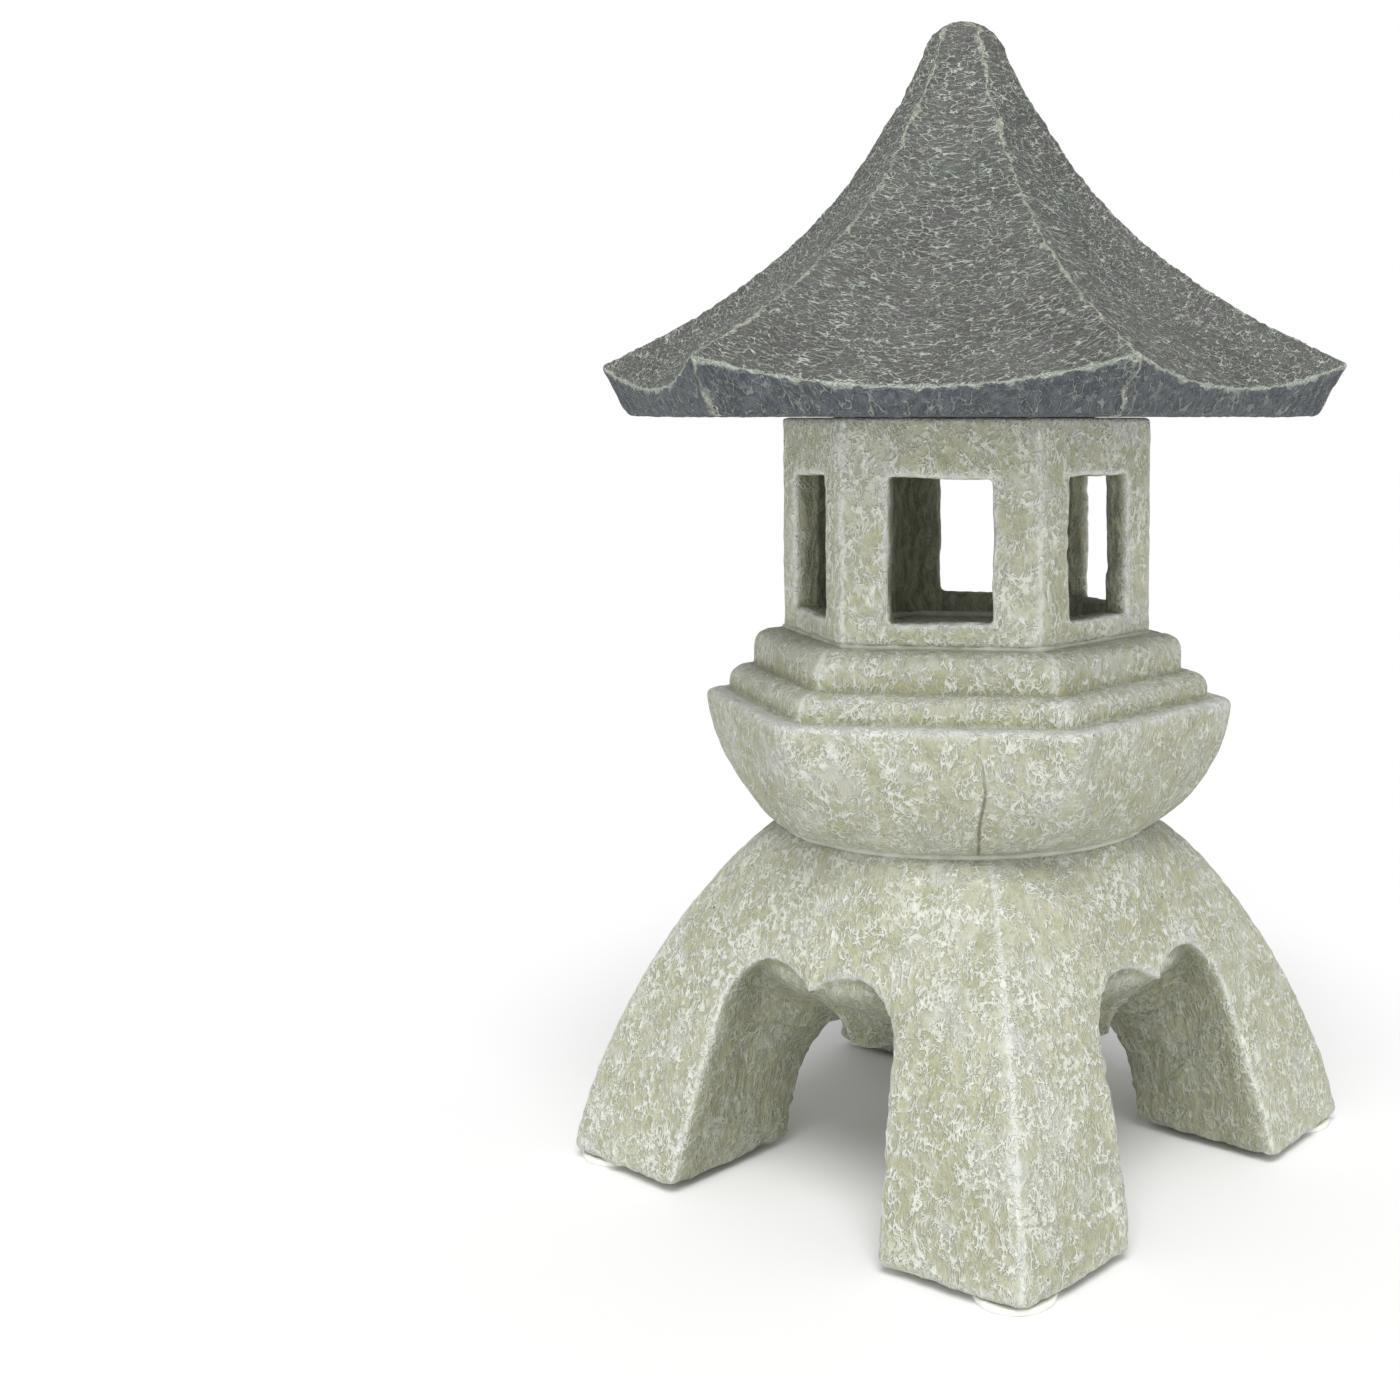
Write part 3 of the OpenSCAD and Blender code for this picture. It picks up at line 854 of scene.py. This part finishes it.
def foil_material():
    """Thin pressed aluminium with faint rolling marks and dents."""
    s = Shader("tealight_foil")
    place = s.position()
    rolled = s.vector("MULTIPLY", place, (1.0, 1.0, 0.12))
    scratches = s.noise(rolled, 0.6 * MM, 3.0, 0.7).outputs[0]
    dents = s.noise(place, 5 * MM, 2.0).outputs[0]
    colour = s.blend(s.ramp(scratches, 0.3, 0.7), srgb(196, 196, 198), srgb(226, 226, 228))
    height = s.math("ADD", s.math("MULTIPLY", scratches, 0.1), dents)
    return s.finish(colour, s.ramp(scratches, 0.3, 0.7, 0.25, 0.42), height, 0.15 * MM,
                    Metallic=1.0)


def wax_material():
    """White paraffin wax with a cloudy surface."""
    s = Shader("wax")
    place = s.position()
    cloud = s.noise(place, 6 * MM, 3.0).outputs[0]
    pits = s.noise(place, 0.9 * MM, 2.0).outputs[0]
    colour = s.blend(s.ramp(cloud, 0.35, 0.65), srgb(238, 235, 224), srgb(247, 245, 238))
    return s.finish(colour, s.ramp(cloud, 0.3, 0.7, 0.32, 0.48), pits, 0.08 * MM,
                    Subsurface_Weight=0.25, Subsurface_Scale=2 * MM)


def wick_material():
    """Waxed braided cotton with a darkened tip."""
    s = Shader("wick")
    place = s.position()
    high = s.add("ShaderNodeSeparateXYZ", {0: place}).outputs[2]
    tip_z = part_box("tealight_wick")[1].z
    fibres = s.noise(s.vector("MULTIPLY", place, (1.0, 1.0, 0.3)), 0.25 * MM, 2.0).outputs[0]
    colour = s.blend(s.ramp(fibres, 0.3, 0.7), srgb(206, 198, 176), srgb(236, 230, 214))
    colour = s.blend(s.ramp(high, tip_z - 3.5 * MM, tip_z - 2 * MM), colour, srgb(52, 46, 40))
    return s.finish(colour, 0.85, fibres, 0.15 * MM)


# ---------------- turned pieces

def turned(name, profile, segments, swell=None):
    """A closed piece turned about its own axis. The profile is (radius, height) points from the
    bottom of the axis to the top of the axis, and swell(angle, radius, height) moves a point out."""
    points = []
    faces = []
    last = len(profile) - 1
    for k, (radius, height) in enumerate(profile):
        for i in range(segments):
            angle = 2 * math.pi * i / segments
            out = radius + (swell(angle, radius, height) if swell and radius > 0 else 0)
            points.append((out * math.cos(angle), out * math.sin(angle), height))
        if k < last:
            for i in range(segments):
                j = (i + 1) % segments
                faces.append((k * segments + i, k * segments + j,
                              (k + 1) * segments + j, (k + 1) * segments + i))
    faces.append(tuple(reversed(range(segments))))
    faces.append(tuple(last * segments + i for i in range(segments)))
    return new_piece(name, points, faces)


def arc(middle_r, middle_z, radius, start_degrees, end_degrees, steps):
    """Points of a profile along an arc."""
    angles = [math.radians(mix(start_degrees, end_degrees, i / steps)) for i in range(steps + 1)]
    return [(middle_r + radius * math.cos(a), middle_z + radius * math.sin(a)) for a in angles]


def place_piece(piece, middle, body, slot, material, *nodes):
    """Puts a piece in its place, gives it its material, hangs it on the body it rides on and hides the
    nodes it stands for.
    """
    for vertex in piece.data.vertices:
        vertex.co += Vector(middle)
    piece.data.materials.append(material)
    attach(piece, body)
    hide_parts(*nodes)


def middle_of(node):
    """The middle of a node's bottom face."""
    low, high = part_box(node)
    return ((low.x + high.x) / 2, (low.y + high.y) / 2, low.z)


def make_pad(place, material):
    """A soft round pad that bulges a little under the lantern's weight."""
    node = "foot_pad_" + place
    low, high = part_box(node)
    radius = (high.x - low.x) / 2
    height = high.z - low.z
    lip = 0.9 * MM
    inner = radius - lip
    profile = [(0.35 * radius, 0), (0.8 * radius, 0)]
    profile += arc(inner, lip, lip, -90, 0, 4)
    profile += arc(inner, height - lip, lip, 0, 90, 4)
    profile += [(0.8 * radius, height), (0.35 * radius, height)]

    def wobble(angle, r, z):
        spot = Vector((math.cos(angle), math.sin(angle), low.x * 40 + low.y * 60))
        return (noise.noise(spot * 1.7) - 0.6) * 0.5 * MM * (r / radius) ** 4

    pad = turned("pad_" + place, profile, 72, wobble)
    place_piece(pad, middle_of(node), "lantern_body", "foot_pad", material, node)


def mortar_ring(name, node, sides, inner_r, outer_r, bulge, sink, material):
    """A bed of mortar squeezed between two stones, with an uneven edge."""
    low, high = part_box(node)
    thick = high.z - low.z + 2 * sink
    steps = 8
    count = 360
    points = []
    for i in range(count):
        angle = 2 * math.pi * i / count
        if sides:
            from_side = abs(angle % (2 * math.pi / sides) - math.pi / sides)
            stretch = math.cos(math.pi / sides) / math.cos(from_side)
        else:
            stretch = 1
        spot = Vector((math.cos(angle), math.sin(angle), 0.3))
        uneven = noise.noise(spot * 5) * 0.6 * bulge + noise.noise(spot * 21) * 0.5 * bulge
        for k in range(steps + 1):
            across = math.sin(math.pi * k / steps)
            out = outer_r * stretch - bulge + (bulge * 0.8 + uneven) * across ** 0.6
            points.append((out * math.cos(angle), out * math.sin(angle),
                           low.z - sink + thick * k / steps))
        for height in (low.z - sink + thick, low.z - sink):
            points.append((inner_r * stretch * math.cos(angle),
                           inner_r * stretch * math.sin(angle), height))
    ring = steps + 3
    faces = []
    for i in range(count):
        j = (i + 1) % count
        for k in range(ring):
            n = (k + 1) % ring
            faces.append((i * ring + k, j * ring + k, j * ring + n, i * ring + n))
    piece = new_piece(name, points, faces)
    place_piece(piece, (0, 0, 0), "lantern_body", "mortar", material, node)


def make_cup(material):
    """The tealight's foil cup: fluted sides, a rolled rim and a pressed foot."""
    low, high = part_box("tealight_cup")
    radius = high.x
    height = high.z - low.z
    foil = 0.4 * MM
    roll = 0.5 * MM
    flute_count = 48
    outer = radius - 0.45 * MM
    profile = [(0.2 * radius, foil * 2), (outer - 3 * MM, foil * 2), (outer - 2 * MM, 0.3 * MM)]
    profile += arc(outer - 1.2 * MM, 1.2 * MM, 1.2 * MM, -90, 0, 5)
    profile += [(outer, height * share) for share in (0.2, 0.4, 0.6, 0.8)]
    profile += arc(outer - roll + 0.4 * MM, height - roll, roll, 0, 180, 8)
    inner = outer - foil
    profile += [(inner, height * share) for share in (0.9, 0.5, 0.2)]
    profile += [(inner - 1.2 * MM, 3 * foil), (0.2 * radius, 3 * foil)]

    def flutes(angle, r, z):
        on_wall = smooth_step(2 * MM, 4 * MM, z) * smooth_step(height - 1 * MM, height - 3 * MM, z)
        return 0.22 * MM * math.cos(flute_count * angle) * on_wall * (r > inner - 0.2 * MM)

    cup = turned("cup_foil", profile, 384, flutes)
    place_piece(cup, (0, 0, low.z), "tealight", "tealight_metal", material, "tealight_cup")


def make_wax(material):
    """The wax: it climbs the cup a little at its edge and dips around the wick."""
    low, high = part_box("tealight_wax")
    radius = high.x - 0.25 * MM
    height = high.z - low.z
    steps = 28
    profile = [(1.0 * MM, 0.45 * MM), (radius - 1 * MM, 0.45 * MM), (radius, 2 * MM)]
    for i in range(steps + 1):
        r = mix(radius, 0.8 * MM, i / steps)
        climb = 0.5 * MM * math.exp(-(radius - r) / (1.2 * MM))
        dip = 0.9 * MM * math.exp(-(r / (4 * MM)) ** 2)
        profile.append((r, height - 0.5 * MM + climb - dip))
    wax = turned("wax_fill", profile, 96)
    place_piece(wax, (0, 0, low.z), "tealight", "wax", material, "tealight_wax")


def make_wick(material):
    """Three braided strands that lean over a little at the top."""
    low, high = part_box("tealight_wick")
    radius = high.x
    length = high.z - low.z
    strand_r = 0.48 * radius
    rings = 60
    sides = 10
    points = []
    faces = []
    for strand in range(3):
        start = len(points)
        for k in range(rings + 1):
            share = k / rings
            turn = 2 * math.pi * (strand / 3 + share * 4)
            lean = 0.35 * MM * smooth_step(0.6, 1.0, share)
            taper = math.sqrt(max(0.02, 1 - share ** 24))
            x = 0.5 * radius * math.cos(turn) + lean
            y = 0.5 * radius * math.sin(turn)
            for i in range(sides):
                a = 2 * math.pi * i / sides
                points.append((x + strand_r * taper * math.cos(a),
                               y + strand_r * taper * math.sin(a), length * share))
        for k in range(rings):
            for i in range(sides):
                j = (i + 1) % sides
                a = start + k * sides
                b = a + sides
                faces.append((a + i, a + j, b + j, b + i))
        faces.append(tuple(start + i for i in reversed(range(sides))))
        faces.append(tuple(start + rings * sides + i for i in range(sides)))
    wick = new_piece("wick_braid", points, faces)
    place_piece(wick, (0, 0, low.z), "tealight", "wick", material, "tealight_wick")


# ---------------- the lantern

def put_stone(stone, body, material, node):
    """Gives a finished stone its material and body, and hides the node it replaces."""
    stone.data.materials.append(material)
    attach(stone, body)
    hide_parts(node)


CHAMBER_SEAT_R = 0.130
ROOF_SEAT_R = 0.125

base_marks = {"crest": corner_offset(4, math.pi / 4), "brow": base_brow, "foot": no_step_foot_shade}
base_relief = {"seed": 3, "swell": 1.6 * MM, "tooling": 1.6 * MM, "chips": 2.6 * MM}
base_seat = (BASE_TOP_R, [base_high.z])
base_stone = make_stone("base_block", "base", base_distance, 2.2 * MM, base_relief, laid_upright,
                        base_seat, base_marks)
base_look = sage_stone("base_stone", 0.95, 1 * MM, 12 * MM, 0.5)
put_stone(base_stone, "lantern_body", base_look, "base")

platform_marks = {"crest": corner_offset(6, 0), "brow": bowl_brow, "foot": step_foot_shade,
                  "seam": seam_offset}
platform_relief = {"seed": 11, "swell": 1.2 * MM, "tooling": 1.1 * MM, "chips": 1.6 * MM}
platform_seat = (BASE_TOP_R, [BOWL_Z, platform_high.z])
platform_stone = make_stone("platform_block", "platform", platform_distance, 1.8 * MM,
                            platform_relief, laid_upright, platform_seat, platform_marks,
                            seam_relief)
# The bowl darkens a little towards its bottom: painted shade
platform_look = sage_stone("platform_stone", 0.92, 30 * MM, 66 * MM, 0.12, paint_seam_shadow=True)
put_stone(platform_stone, "lantern_body", platform_look, "platform")

chamber_marks = {"crest": corner_offset(6, 0), "brow": chamber_brow, "foot": no_step_foot_shade}
chamber_relief = {"seed": 23, "swell": 1.2 * MM, "tooling": 1.1 * MM, "chips": 1.8 * MM}
chamber_seat = (CHAMBER_SEAT_R, [chamber_low.z, chamber_high.z])
chamber_stone = make_stone("chamber_block", "light_chamber", chamber_distance, 1.5 * MM,
                           chamber_relief, laid_upright, chamber_seat, chamber_marks)
# The chamber's colours are made lighter than the other stones': painted light against the roof's shadow
# on it
chamber_look = sage_stone("chamber_stone", 1.07, 1 * MM, 8 * MM, 0.75)
put_stone(chamber_stone, "lantern_body", chamber_look, "light_chamber")

roof_marks = {"crest": corner_offset(6, 0), "brow": roof_brow}
roof_relief = {"seed": 37, "swell": 1.2 * MM, "tooling": 2.3 * MM, "chips": 1.6 * MM}
roof_seat = (ROOF_SEAT_R, [ROOF_Z])
roof_stone = make_stone("roof_block", "roof", roof_distance, 2.0 * MM, roof_relief, laid_flat,
                        roof_seat, roof_marks)
put_stone(roof_stone, "roof", slate_stone("roof_stone"), "roof")

mortar = mortar_material()
mortar_ring("platform_mortar", "platform_mortar_bed", 0, TENON_R + TENON_GAP, BASE_TOP_R + 0.5 * MM,
            1.6 * MM, 1.0 * MM, mortar)
mortar_ring("chamber_mortar", "chamber_mortar_bed", 6, chamber_high.x - WALL_T / HEX_FLAT,
            chamber_high.x - 0.3 * MM, 2.0 * MM, 0.8 * MM, mortar)

pad = pad_material()
for pad_place in ("front_left", "front_right", "back_left", "back_right"):
    make_pad(pad_place, pad)

foil = foil_material()
make_cup(foil)
make_wax(wax_material())
make_wick(wick_material())
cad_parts["wick_clip"].data.materials.clear()
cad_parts["wick_clip"].data.materials.append(foil)


# ---------------- stage, light and camera

def make_floor():
    """A wide pale floor."""
    size = 12.0
    corners = [(-size, -size, 0), (size, -size, 0), (size, size, 0), (-size, size, 0)]
    floor = new_piece("floor", corners, [(0, 1, 2, 3)])
    s = Shader("floor")
    inputs = {"Base Color": (0.94, 0.94, 0.94, 1), "Roughness": 0.9}
    surface = s.add("ShaderNodeBsdfPrincipled", inputs)
    s.add("ShaderNodeOutputMaterial", {"Surface": surface.outputs[0]})
    floor.data.materials.append(s.material)


CAMERA_AZIMUTH = math.radians(-52)
CAMERA_DISTANCE = 1.006
CAMERA_HEIGHT = 0.3975
CAMERA_PITCH = math.radians(-3)
CAMERA_LENS = 47.7
CAMERA_SHIFT_X = -0.189
CAMERA_SHIFT_Y = -0.133


def make_camera():
    """The camera, about a metre away and a little above the lantern's middle."""
    camera = bpy.data.cameras.new("camera")
    camera.sensor_width = 36
    camera.lens = CAMERA_LENS
    camera.shift_x = CAMERA_SHIFT_X
    camera.shift_y = CAMERA_SHIFT_Y
    eye = bpy.data.objects.new("camera", camera)
    eye.location = (CAMERA_DISTANCE * math.sin(CAMERA_AZIMUTH),
                    -CAMERA_DISTANCE * math.cos(CAMERA_AZIMUTH), CAMERA_HEIGHT)
    eye.rotation_euler = Euler((math.pi / 2 + CAMERA_PITCH, 0, CAMERA_AZIMUTH))
    bpy.context.scene.collection.objects.link(eye)
    bpy.context.scene.camera = eye


TENT_STRENGTH = 0.5
BACKDROP_STRENGTH = 1.0


def far_light(name, direction, strength, degrees):
    """Even light from a direction, with shadows as soft as an angle makes them."""
    light = bpy.data.lights.new(name, "SUN")
    light.energy = strength
    light.angle = math.radians(degrees)
    lamp = bpy.data.objects.new(name, light)
    lamp.rotation_euler = Vector(direction).to_track_quat("Z", "Y").to_euler()
    bpy.context.scene.collection.objects.link(lamp)


def make_light():
    """A light tent with a white backdrop, a soft key light from above and a fill from the camera's
    side. The backdrop that the camera sees is brighter than the light that the tent gives."""
    world = bpy.data.worlds.new("studio")
    world.use_nodes = True
    tree = world.node_tree
    tree.nodes.clear()

    def white(strength):
        background = tree.nodes.new("ShaderNodeBackground")
        background.inputs[0].default_value = (1.0, 1.0, 1.0, 1)
        background.inputs[1].default_value = strength
        return background.outputs[0]

    seen = tree.nodes.new("ShaderNodeLightPath")
    choice = tree.nodes.new("ShaderNodeMixShader")
    ending = tree.nodes.new("ShaderNodeOutputWorld")
    tree.links.new(seen.outputs["Is Camera Ray"], choice.inputs[0])
    tree.links.new(white(TENT_STRENGTH), choice.inputs[1])
    tree.links.new(white(BACKDROP_STRENGTH), choice.inputs[2])
    tree.links.new(choice.outputs[0], ending.inputs[0])
    bpy.context.scene.world = world
    far_light("key", (-0.6, -0.5, 1.5), 1.9, 35)
    far_light("fill", (-0.8, -0.62, 0.3), 0.75, 60)


make_floor()
make_camera()
make_light()
bpy.context.scene.view_settings.view_transform = "Standard"
